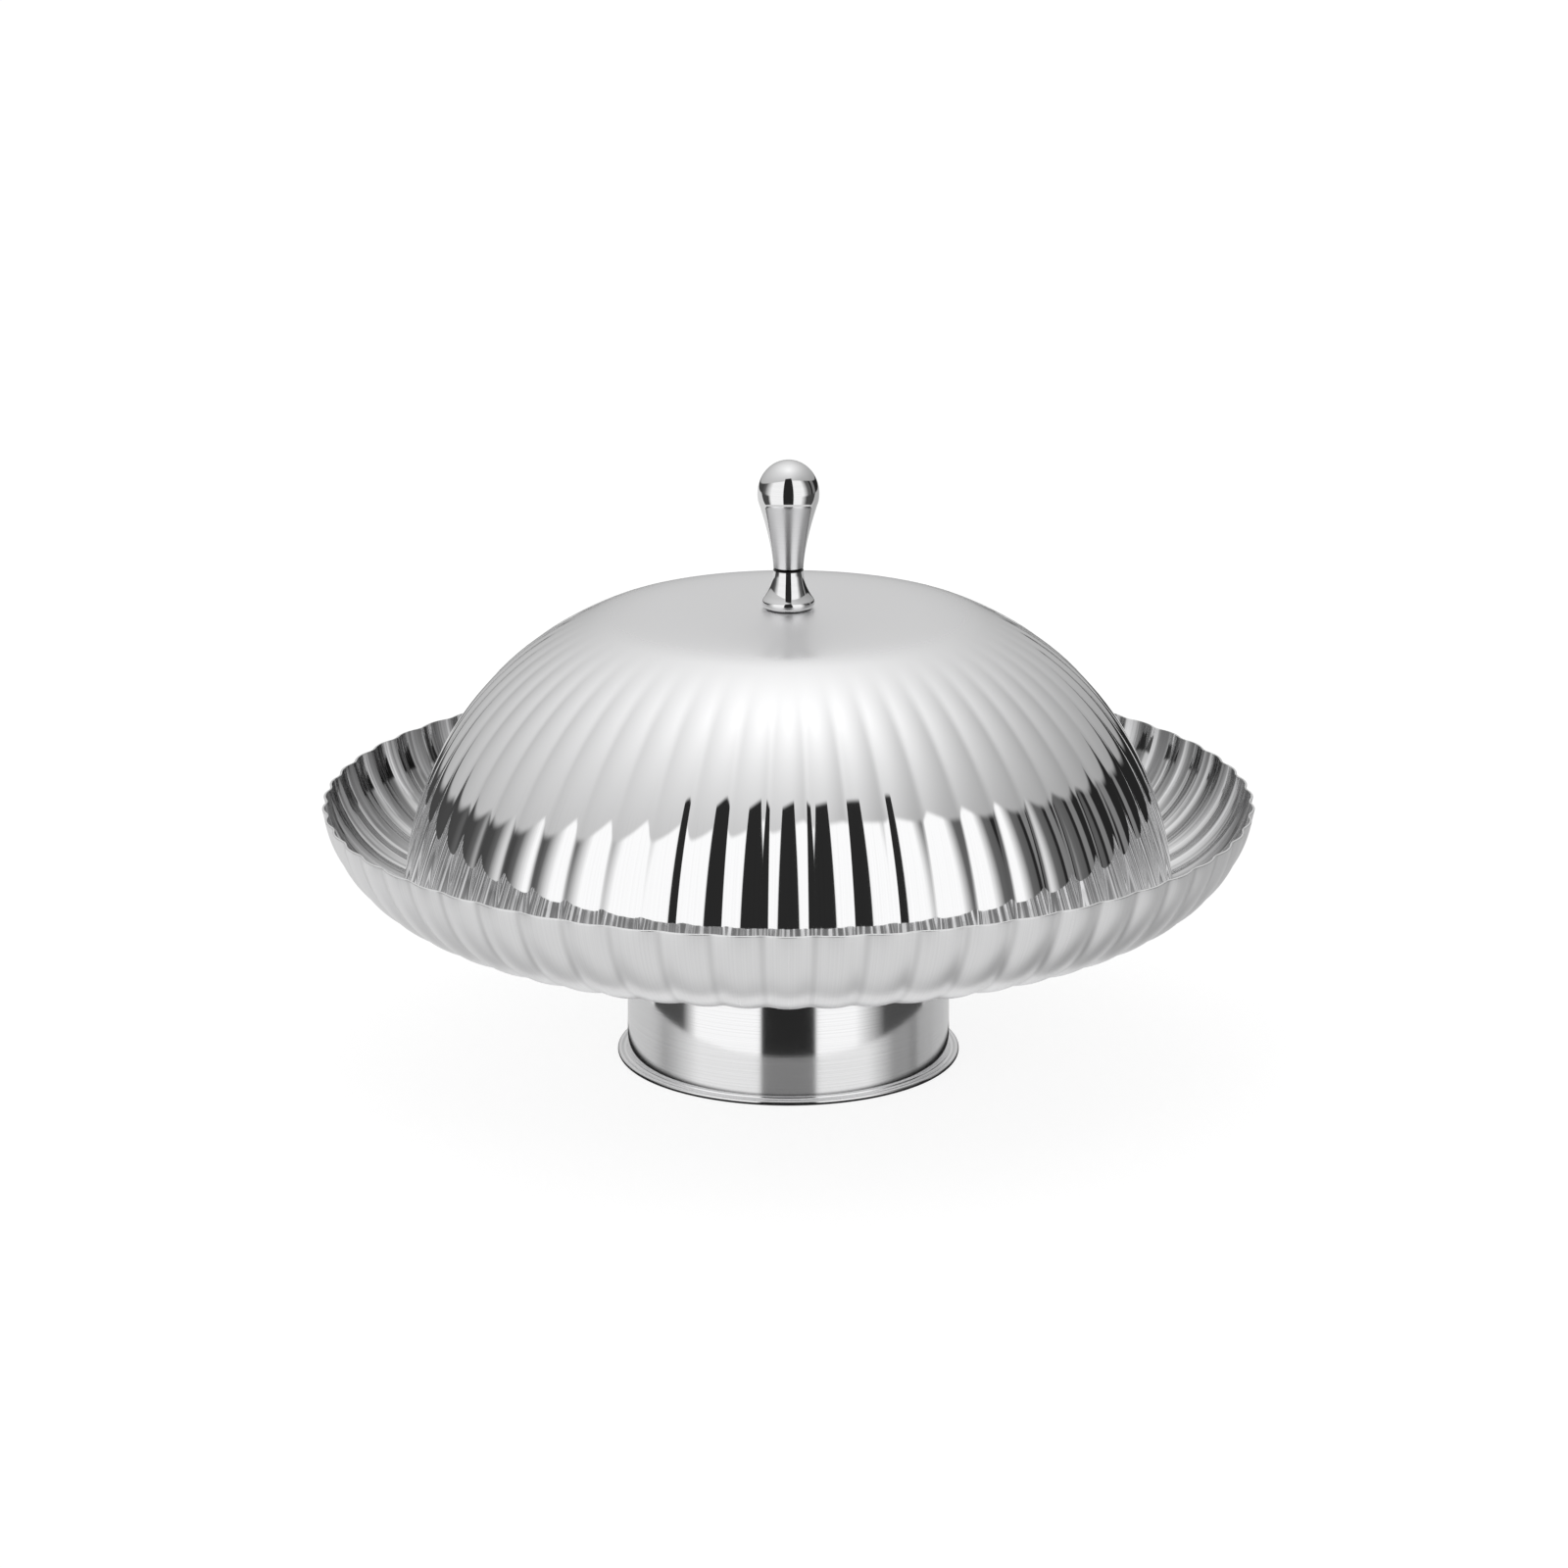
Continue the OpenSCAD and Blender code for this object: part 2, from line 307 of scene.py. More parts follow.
@dataclass(frozen=True)
class Steel:
    """A steel finish. An edge is the middle and the half-width of a soft step.

    Attributes:
        name: Name of the material.
        shade: Lightness of the metal.
        roughness: Roughness of a clean place.
        haze: Rise of the roughness where wiping has left a haze.
        wave: Height of the sheet's slow waves.
        grain: How the surface was worked last.
        line_width: Width of the working lines, in radians on buffed metal.
        line_depth: Depth of the working lines.
        line_shade: Lightness of the metal in the lines, as a share.
        line_gloss: Rise of the roughness in the lines, as a share.
        line_edge: Edge of the duller lines in their pattern.
        line_start: Radius at which buffed lines begin.
        anisotropy: How far the lines draw out a reflection.
        satin: Roughness of the satin middle, where there is one.
        satin_edge: Radius of the satin middle.
        seam: Height of a seam that carries a dark line of painted shade, where there is one.
            seam_edge, seam_shade: Reach of that painted shade, and its lightness as a share.
        grooves: Number of grooves round the piece that are darkened with painted shade.
            groove_edge, groove_start: Share of a flute, and radius, past which the painted shade lies.
        groove_shade: Lightness of that painted shade, as a share.
        rim_shade: Lightness of the rim's streaks, as a share: painted darker reflection along the working
            lines.
        rim_start, rim_edge: Radius at which the streaks begin, and their edge in the lines' pattern.
        tint: Blue of the metal, as a share of its red and green.
        haze_width, haze_detail, haze_edge: Pattern of the haze.
        wave_width, wave_detail: Pattern of the waves.
    """

    name: str
    shade: float
    roughness: float
    haze: float
    wave: float
    grain: Grain
    line_width: float
    line_depth: float = 0.0
    line_shade: float = 0.97
    line_gloss: float = 0.5
    line_edge: SoftEdge = (0.51, 0.14)
    line_start: SoftEdge = (0.13, 0.02)
    anisotropy: float = 0.0
    satin: float = 0.0
    satin_edge: SoftEdge = (0.080, 0.03)
    seam: float = 0.0
    seam_edge: SoftEdge = (0.0007, 0.000175)
    seam_shade: float = 0.03
    grooves: int = 0
    groove_edge: SoftEdge = (0.44, 0.06)
    groove_start: SoftEdge = (0.155, 0.03)
    groove_shade: float = 0.85
    rim_shade: float = 1.0
    rim_start: SoftEdge = (0.176, 0.014)
    rim_edge: SoftEdge = (0.46, 0.14)
    tint: float = 1.006
    haze_width: float = 0.06
    haze_detail: float = 4.0
    haze_edge: SoftEdge = (0.55, 0.2)
    wave_width: float = 0.03
    wave_detail: float = 1.0

    def lines(self, graph: Graph, place: Wire) -> Wire:
        """Pattern of the working lines, from 0 to 1.

        Args:
            graph: The material's nodes.
            place: Object coordinates.

        Returns:
            Rings about the axis on spun and polished metal, and lines along the flutes on buffed metal,
            which fade out on the flat middle.
        """
        x, y, z = graph.axes(place)
        radius = graph.radius(x, y)
        if self.grain is Grain.BUFFED:
            along_flutes = graph.lines(graph.maths("ARCTAN2", y, x), self.line_width)
            return along_flutes * radius.above(*self.line_start)
        return graph.lines(radius + z, self.line_width)

    def gloss(self, graph: Graph, place: Wire, lines: Wire) -> Wire:
        """Roughness over the surface.

        Args:
            graph: The material's nodes.
            place: Object coordinates.
            lines: Pattern of the working lines.

        Returns:
            The roughness, with a haze, the working lines and the satin middle.
        """
        haze = graph.noise(place, self.haze_width, self.haze_detail).above(*self.haze_edge)
        rough = self.roughness + haze * self.haze + lines * (self.roughness * self.line_gloss)
        if not self.satin:
            return rough
        x, y, _ = graph.axes(place)
        return rough.towards(self.satin, graph.radius(x, y).below(*self.satin_edge))

    def colour(self, share: float = 1.0) -> Colour:
        """The metal's colour at a share of its lightness."""
        shade = self.shade * share
        return shade, shade, shade * self.tint, 1.0

    def tone(self, graph: Graph, place: Wire, lines: Wire) -> Wire:
        """Colour over the surface.

        Args:
            graph: The material's nodes.
            place: Object coordinates.
            lines: Pattern of the working lines.

        Returns:
            The metal's colour, with duller lines, painted shade at the seam and in the grooves, and
            painted darker reflection in streaks at the rim.
        """
        x, y, z = graph.axes(place)
        radius = graph.radius(x, y)
        metal = graph.blend(self.colour(), self.colour(self.line_shade), lines.above(*self.line_edge))
        # Painted shade: a dark line round the knob's seam, where the joint is in shadow.
        if self.seam:
            seam_shadow = abs(z - self.seam).below(*self.seam_edge)
            metal = graph.blend(metal, self.colour(self.seam_shade), seam_shadow)
        # Painted shade: the grooves between the flutes are darkened.
        if self.grooves:
            turn = graph.maths("ARCTAN2", y, x) * (self.grooves / math.tau)
            groove = abs(turn - graph.maths("ROUND", turn)).above(*self.groove_edge)
            groove = groove * radius.above(*self.groove_start)
            metal = graph.blend(metal, self.colour(self.groove_shade), groove)
        # Painted darker reflection: near the rim the metal is darkened in streaks along the working lines.
        if self.rim_shade < 1:
            streaks = radius.above(*self.rim_start) * lines.above(*self.rim_edge)
            metal = graph.blend(metal, self.colour(self.rim_shade), streaks)
        return metal

    def material(self) -> bpy.types.Material:
        """Makes the material.

        Returns:
            A metal with a haze, slow waves and working lines.
        """
        made = bpy.data.materials.new(self.name)
        made.use_nodes = True
        graph = Graph(made.node_tree)
        place = graph.node("ShaderNodeTexCoord", out="Object")
        lines = self.lines(graph, place)
        waves = graph.noise(place, self.wave_width, self.wave_detail)
        relief = waves * self.wave + lines * self.line_depth
        bump = graph.node("ShaderNodeBump", inputs={"Height": relief, "Distance": 1.0})
        metal = graph.node(
            "ShaderNodeBsdfPrincipled",
            inputs={
                "Base Color": self.tone(graph, place, lines),
                "Metallic": 1.0,
                "Roughness": self.gloss(graph, place, lines),
                "Anisotropic": self.anisotropy,
                "Normal": bump,
            },
        )
        graph.node("ShaderNodeOutputMaterial", inputs={"Surface": metal})
        return made


LID_STEEL = Steel(
    "lid_mirror_steel", shade=0.88, roughness=0.03, haze=0.02, wave=0.00006, grain=Grain.BUFFED,
    line_width=0.006, satin=0.38,
)
DISH_STEEL = Steel(
    "dish_satin_steel", shade=0.84, roughness=0.24, haze=0.05, wave=0.00004, grain=Grain.BUFFED,
    line_width=0.004,
)
# The lining's rim_shade paints a darker reflection near the rim, in streaks.
LINING_STEEL = Steel(
    "dish_mirror_steel", shade=0.90, roughness=0.05, haze=0.02, wave=0.00006, grain=Grain.BUFFED,
    line_width=0.040, line_depth=0.0004, line_shade=0.5, rim_shade=0.28,
)
FOOT_STEEL = Steel(
    "foot_spun_steel", shade=0.86, roughness=0.06, haze=0.03, wave=0.00001, grain=Grain.SPUN,
    line_width=0.0006, line_depth=0.000002, line_shade=0.94, anisotropy=0.4,
)
KNOB_STEEL = Steel(
    "knob_mirror_steel", shade=0.80, roughness=0.03, haze=0.02, wave=0.0, grain=Grain.POLISHED,
    line_width=0.0008,
)
FASTENER_STEEL = Steel(
    "fastener_plain_steel", shade=0.68, roughness=0.24, haze=0.08, wave=0.0, grain=Grain.SPUN,
    line_width=0.0004, line_depth=0.000004, line_shade=0.9,
)


class Bench:
    """Operators that turn drawn sections into pieces."""

    BEVEL_SEGMENTS = 3
    CUT_ANGLE = 60.0

    @staticmethod
    def draw(name: str, section: Sequence[Point]) -> bpy.types.Object:
        """Draws half a section, one extrusion after another, and leaves it in edit mode.

        Args:
            name: Name of the piece.
            section: Points of the section, as radius and height.

        Returns:
            The new piece.
        """
        bpy.ops.object.select_all(action="DESELECT")
        bpy.ops.mesh.primitive_plane_add(size=SEED_SIZE)
        piece = bpy.context.object
        piece.name = name
        piece.data.name = name
        bpy.ops.object.mode_set(mode="EDIT")
        bpy.ops.mesh.merge(type="CENTER")
        bpy.ops.transform.translate(value=(section[0][0], 0, section[0][1]))
        for start, end in zip(section, section[1:]):
            step = (end[0] - start[0], 0, end[1] - start[1])
            bpy.ops.mesh.extrude_region_move(TRANSFORM_OT_translate={"value": step})
        return piece

    @staticmethod
    def turn(columns: int) -> None:
        """Spins the drawn section once round the axis, closes its seam and poles, and leaves edit mode.

        Args:
            columns: Number of steps round the axis.
        """
        bpy.ops.mesh.select_all(action="SELECT")
        bpy.ops.mesh.spin(steps=columns, angle=math.tau, center=(0, 0, 0), axis=(0, 0, 1))
        bpy.ops.mesh.select_all(action="SELECT")
        bpy.ops.mesh.remove_doubles(threshold=MERGE_GAP)
        bpy.ops.mesh.normals_make_consistent(inside=False)
        bpy.ops.object.mode_set(mode="OBJECT")

    @staticmethod
    def finish_with(piece: bpy.types.Object, kind: str, **settings: Setting) -> None:
        """Adds a modifier and applies it.

        Args:
            piece: The piece to change.
            kind: The modifier's type.
            **settings: The modifier's settings.
        """
        modifier = piece.modifiers.new(kind.lower(), kind)
        for name, value in settings.items():
            setattr(modifier, name, value)
        bpy.context.view_layer.objects.active = piece
        bpy.ops.object.modifier_apply(modifier=modifier.name)

    @staticmethod
    def press(
        piece: bpy.types.Object,
        name: str,
        depth: float,
        share: Callable[[Vector], float],
        direction: str = "NORMAL",
    ) -> None:
        """Presses a pattern into a shell.

        Args:
            piece: The shell.
            name: Name of the pattern's vertex group.
            depth: Greatest depth.
            share: Share of the depth at a point.
            direction: Direction of the displacement.
        """
        group = piece.vertex_groups.new(name=name)
        for vertex in piece.data.vertices:
            weight = share(vertex.co)
            if weight > 0:
                group.add([vertex.index], weight, "REPLACE")
        Bench.finish_with(
            piece, "DISPLACE", strength=-depth, mid_level=0.0, direction=direction, vertex_group=name
        )
        piece.vertex_groups.remove(piece.vertex_groups[name])

    @staticmethod
    def dress(piece: bpy.types.Object, *finishes: bpy.types.Material) -> None:
        """Gives a piece its finishes.

        Args:
            piece: The piece to dress.
            *finishes: The outside's finish, and then the lining's, if it has one.
        """
        piece.data.materials.clear()
        for finish in finishes:
            piece.data.materials.append(finish)

    @staticmethod
    def thicken(piece: bpy.types.Object, sheet: float, edge_bevel: float) -> None:
        """Gives a dressed shell the thickness of its sheet, inwards, and rounds the cut edges.

        Args:
            piece: The shell.
            sheet: Thickness of the sheet.
            edge_bevel: Width of the rounding.
        """
        lining = len(piece.data.materials) - 1
        Bench.finish_with(piece, "SOLIDIFY", thickness=sheet, offset=-1.0, material_offset=lining)
        rounding = {"width": edge_bevel, "segments": Bench.BEVEL_SEGMENTS}
        cut = math.radians(Bench.CUT_ANGLE)
        Bench.finish_with(piece, "BEVEL", limit_method="ANGLE", angle_limit=cut, **rounding)

    @staticmethod
    def smooth(piece: bpy.types.Object, crease: float) -> None:
        """Shades a piece smooth, apart from its sharp edges.

        Args:
            piece: The piece to shade.
            crease: Angle past which an edge stays sharp.
        """
        bpy.ops.object.select_all(action="DESELECT")
        piece.select_set(True)
        bpy.context.view_layer.objects.active = piece
        bpy.ops.object.shade_smooth_by_angle(angle=math.radians(crease))

    @staticmethod
    def deliver(piece: bpy.types.Object, node: str, slot: str, body: Body) -> None:
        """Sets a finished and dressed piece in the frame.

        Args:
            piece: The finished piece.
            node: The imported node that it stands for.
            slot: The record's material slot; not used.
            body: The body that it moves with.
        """
        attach(piece, body.value)
        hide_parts(node)
        log.info("%s: %d faces for %s", piece.name, len(piece.data.polygons), node)


@dataclass
class Dish:
    """Fluted dish: a flat floor and a rounded wall that ends in a notched rim.

    Attributes:
        diameter: Outside diameter of the rim.
        wall_radius: Radius of the wall's section.
        rim_steep: Steepness of the wall at the rim.
        sheet: Thickness of the sheet.
        flutes: Number of flutes.
        flute_depth: Depth of the grooves between the flutes.
        flute_run: Length of the flutes on the floor.
        rim_hump: Rise of the rim over the wall's arc.
        notch_depth: Depth of the notches in the rim.
        hump_fade: Height over which the notches fade out.
        floor_height: Height of the floor's underside.
        crest: Share of a flute that its rounded crest takes.
        columns_per_flute, run_rows, wall_rows, rim_rows: Steps of the mesh.
        edge_bevel: Rounding of the cut edge.
        crease: Angle past which an edge stays sharp.
    """

    diameter: float = 0.380
    wall_radius: float = 0.050
    rim_steep: float = 80.0
    sheet: float = 0.001
    flutes: int = 60
    flute_depth: float = 0.0014
    flute_run: float = 0.026
    rim_hump: float = 0.0008
    notch_depth: float = 0.0003
    hump_fade: float = 0.009
    floor_height: float = 0.0675
    crest: float = 0.72
    columns_per_flute: int = 14
    run_rows: int = 6
    wall_rows: int = 24
    rim_rows: int = 3
    edge_bevel: float = 0.0003
    crease: float = 30.0

    @property
    def wall_centre(self) -> Point:
        """Centre of the wall's arc, as radius and height."""
        reach = self.wall_radius * sin(self.rim_steep) + self.rim_hump * cos(self.rim_steep)
        return self.diameter / 2 - reach, self.floor_height + self.wall_radius

    @property
    def flute_start(self) -> float:
        """Radius at which the flutes begin on the floor."""
        return self.wall_centre[0] - self.flute_run

    @property
    def rim_height(self) -> float:
        """Height of the rim."""
        wall_top = self.wall_centre[1] - self.wall_radius * cos(self.rim_steep)
        return wall_top + self.rim_hump * sin(self.rim_steep)

    def ridge_height(self, radius: float) -> float:
        """Height of the ridges inside the wall at a radius."""
        ridge = self.wall_radius - self.sheet - self.flute_depth
        return self.wall_centre[1] - math.sqrt(ridge**2 - (radius - self.wall_centre[0]) ** 2)

    def flute_share(self, point: Vector) -> float:
        """Share of the flutes' depth at a point.

        Args:
            point: Place on the shell.

        Returns:
            The share, which grows from the floor to the rim.
        """
        radius = math.hypot(point.x, point.y)
        run = (radius - self.flute_start) / (self.diameter / 2 - self.flute_start)
        return groove_share(point, self.flutes, self.crest) * ease(run)

    def notch_share(self, point: Vector) -> float:
        """Share of the rim's notches at a point."""
        fade = ease(1 - (self.rim_height - point.z) / self.hump_fade)
        return groove_share(point, self.flutes, self.crest) * fade

    def section(self) -> list[Point]:
        """Section of the outside across the crests.

        Returns:
            Its points, from the middle of the floor to the rim.
        """
        centre_r = self.wall_centre[0]
        wall = arc(self.wall_centre, self.wall_radius, -90, self.rim_steep - 90, self.wall_rows)
        rim_r, rim_z = wall[-1]
        return [
            (0.0, self.floor_height),
            (self.flute_start / 2, self.floor_height),
            *[(r, self.floor_height) for r in steps(self.flute_start, centre_r, self.run_rows)[:-1]],
            *wall,
            *[
                (rim_r + cos(self.rim_steep) * rise, rim_z + sin(self.rim_steep) * rise)
                for rise in steps(0, self.rim_hump, self.rim_rows)[1:]
            ],
        ]

    def build(self) -> None:
        """Builds and dresses the dish."""
        # The outside's finish paints shade into the grooves between the flutes.
        outside = replace(DISH_STEEL, grooves=self.flutes)
        piece = Bench.draw("fluted_dish", self.section())
        Bench.turn(self.flutes * self.columns_per_flute)
        Bench.press(piece, "flutes", self.flute_depth, self.flute_share)
        Bench.press(piece, "rim_notches", self.notch_depth, self.notch_share, "Z")
        Bench.dress(piece, outside.material(), LINING_STEEL.material())
        Bench.thicken(piece, self.sheet, self.edge_bevel)
        Bench.smooth(piece, self.crease)
        Bench.deliver(piece, "serving_bowl", "dish_steel", Body.BASE)


@dataclass
class Foot:
    """Spun foot: a slightly conical wall with a flange on top, flared below into a rolled bead.

    Attributes:
        height: Height of the foot.
        top_diameter: Outside diameter of the wall at its top.
        low_diameter: Outside diameter of the wall above its flare.
        bead_diameter: Outside diameter of the bead.
        bead: Thickness of the bead.
        flare_radius: Radius of the flare.
        land_width: Width of the flat that the bead stands on.
        sheet: Thickness of the sheet.
        flange_width: Width of the flange.
        columns, flare_rows, bead_rows: Steps of the mesh.
        crease: Angle past which an edge stays sharp.
    """

    height: float
    top_diameter: float = 0.1324
    low_diameter: float = 0.1332
    bead_diameter: float = 0.1414
    bead: float = 0.0022
    flare_radius: float = 0.0012
    land_width: float = 0.0010
    sheet: float = 0.001
    flange_width: float = 0.013
    columns: int = 224
    flare_rows: int = 12
    bead_rows: int = 24
    crease: float = 32.0

    def section(self) -> list[Point]:
        """Closed section through the wall, the bead and the flange.

        Returns:
            Its points, from the flange's inner edge round to itself.
        """
        bead_r = self.bead / 2
        bead_x = self.bead_diameter / 2 - bead_r
        bead_z = math.sqrt(bead_r**2 - (self.land_width / 2) ** 2)
        flare_x = self.low_diameter / 2 + self.flare_radius
        reach = self.flare_radius + bead_r
        flare_z = bead_z + math.sqrt(reach**2 - (flare_x - bead_x) ** 2)
        lean = math.degrees(math.atan2(flare_z - bead_z, flare_x - bead_x))
        inner = self.flare_radius + self.sheet
        along = (inner**2 - bead_r**2 + reach**2) / (2 * reach)
        aside = math.sqrt(inner**2 - along**2)
        inner_turn = math.degrees(math.atan2(aside, along))
        bead_turn = math.degrees(math.atan2(aside, reach - along))
        land = math.degrees(math.asin(bead_z / bead_r))
        hem = self.top_diameter / 2 - self.flange_width
        flare, bead = (flare_x, flare_z), (bead_x, bead_z)
        return [
            (hem, self.height),
            (self.top_diameter / 2, self.height),
            *arc(flare, self.flare_radius, 180, 180 + lean, self.flare_rows)[:-1],
            *arc(bead, bead_r, lean, -land, self.bead_rows),
            *arc(bead, bead_r, land - 180, lean + bead_turn - 360, self.bead_rows)[:-1],
            *arc(flare, inner, 180 + lean - inner_turn, 180, self.flare_rows),
            (self.top_diameter / 2 - self.sheet, self.height - self.sheet),
            (hem, self.height - self.sheet),
            (hem, self.height),
        ]

    def build(self) -> None:
        """Builds and dresses the foot."""
        piece = Bench.draw("spun_foot", self.section())
        Bench.turn(self.columns)
        Bench.dress(piece, FOOT_STEEL.material())
        Bench.smooth(piece, self.crease)
        Bench.deliver(piece, "foot_ring", "foot_steel", Body.BASE)


@dataclass
class Lid:
    """Fluted dome lid: a rounded shoulder that carries the flutes, and a smooth, gently domed crown.

    Attributes:
        dish: The dish that the lid rests in.
        diameter: Outside diameter of the edge.
        shoulder_height: Height of the shoulder's full rounding.
        crown_diameter: Diameter that the shoulder's rounding stands out from.
        draw: Lean of the shoulder, as its loss of radius.
        sheet: Thickness of the sheet.
        flutes: Number of flutes.
        flute_depth: Depth of the grooves between the flutes.
        flute_start: Diameter at which the crown ends and the flutes begin.
        flute_blend: Length over which the flutes grow.
        seat_diameter: Diameter of the flat that the knob stands on.
        hole_diameter: Diameter of the screw's hole.
        seat_gap: Gap between the lid's edge and the dish's ridges.
        crown_power: How flat the crown is towards the knob.
        crest_high: Share of a flute that its crest takes at the crown.
        crest_low: The same where the flutes have grown.
        columns_per_flute, crown_rows, shoulder_rows: Steps of the mesh.
        crown_spacing: How far the crown's steps crowd towards the shoulder.
        edge_bevel: Rounding of the cut edges.
        crease: Angle past which an edge stays sharp.
    """

    dish: Dish
    diameter: float = 0.315
    shoulder_height: float = 0.1189
    crown_diameter: float = 0.080
    draw: float = 0.0075
    sheet: float = 0.0009
    flutes: int = 56
    flute_depth: float = 0.0010
    flute_start: float = 0.160
    flute_blend: float = 0.046
    seat_diameter: float = 0.024
    hole_diameter: float = 0.0055
    seat_gap: float = 0.0003
    crown_power: float = 8.0
    crest_high: float = 0.55
    crest_low: float = 0.82
    columns_per_flute: int = 18
    crown_rows: int = 13
    shoulder_rows: int = 28
    crown_spacing: float = 3.0
    edge_bevel: float = 0.00025
    crease: float = 30.0

    @property
    def edge_height(self) -> float:
        """Height of the lid's edge, which rests on the ridges inside the dish."""
        return self.dish.ridge_height(self.diameter / 2) + self.seat_gap

    @property
    def shoulder_width(self) -> float:
        """Width of the shoulder's rounding."""
        return self.diameter / 2 - self.crown_diameter / 2 - self.draw

    @property
    def crown_angle(self) -> float:
        """Angle along the shoulder at which the crown begins.

        Returns:
            The angle, at which the flutes have faded out.
        """
        reach = self.flute_start / 2 - self.crown_diameter / 2 - self.draw
        lean = math.atan(self.draw / self.shoulder_width)
        return math.degrees(math.acos(reach / math.hypot(self.shoulder_width, self.draw)) - lean)

    @property
    def crown_slope(self) -> float:
        """Fall of the crown over its run, where it meets the shoulder."""
        run = self.shoulder_width * sin(self.crown_angle) + self.draw * cos(self.crown_angle)
        return self.shoulder_height * cos(self.crown_angle) / run

    @property
    def seat_height(self) -> float:
        """Height of the flat that the knob stands on."""
        return self.crown_height(self.seat_diameter / 2)

    def shoulder(self, angle: float) -> Point:
        """Point of the shoulder, from the edge at angle 0 to the crown."""
        width = self.crown_diameter / 2 + self.shoulder_width * cos(angle) + self.draw * (1 - sin(angle))
        return width, self.edge_height + self.shoulder_height * sin(angle)

    def crown_height(self, radius: float) -> float:
        """Height of the crown.

        Args:
            radius: Distance from the axis.

        Returns:
            The height, on a curve that flattens towards the knob.
        """
        edge = self.flute_start / 2
        rise = edge * self.crown_slope / self.crown_power
        return self.shoulder(self.crown_angle)[1] + rise * (1 - (radius / edge) ** self.crown_power)

    def flute_share(self, point: Vector) -> float:
        """Share of the flutes' depth at a point.

        Args:
            point: Place on the shell.

        Returns:
            The share, which grows from the crown to the edge.
        """
        radius = math.hypot(point.x, point.y)
        grown = ease((radius - self.flute_start / 2) / self.flute_blend)
        crest = self.crest_high + (self.crest_low - self.crest_high) * grown
        return groove_share(point, self.flutes, crest) * grown * radius / (self.diameter / 2)

    def section(self) -> list[Point]:
        """Section of the outside across the crests.

        Returns:
            Its points, from the screw's hole to the edge.
        """
        crown_edge = self.flute_start / 2
        inner = (self.seat_diameter / 2 / crown_edge) ** self.crown_spacing
        shares = steps(inner, 1, self.crown_rows)
        crown = [crown_edge * share ** (1 / self.crown_spacing) for share in shares]
        return [
            (self.hole_diameter / 2, self.seat_height),
            *[(r, self.crown_height(r)) for r in crown[:-1]],
            *[self.shoulder(angle) for angle in steps(self.crown_angle, 0, self.shoulder_rows)],
        ]

    def build(self) -> None:
        """Builds and dresses the lid."""
        piece = Bench.draw("fluted_lid", self.section())
        Bench.turn(self.flutes * self.columns_per_flute)
        Bench.press(piece, "flutes", self.flute_depth, self.flute_share)
        Bench.dress(piece, LID_STEEL.material())
        Bench.thicken(piece, self.sheet, self.edge_bevel)
        Bench.smooth(piece, self.crease)
        Bench.deliver(piece, "lid_dome", "lid_steel", Body.LID)


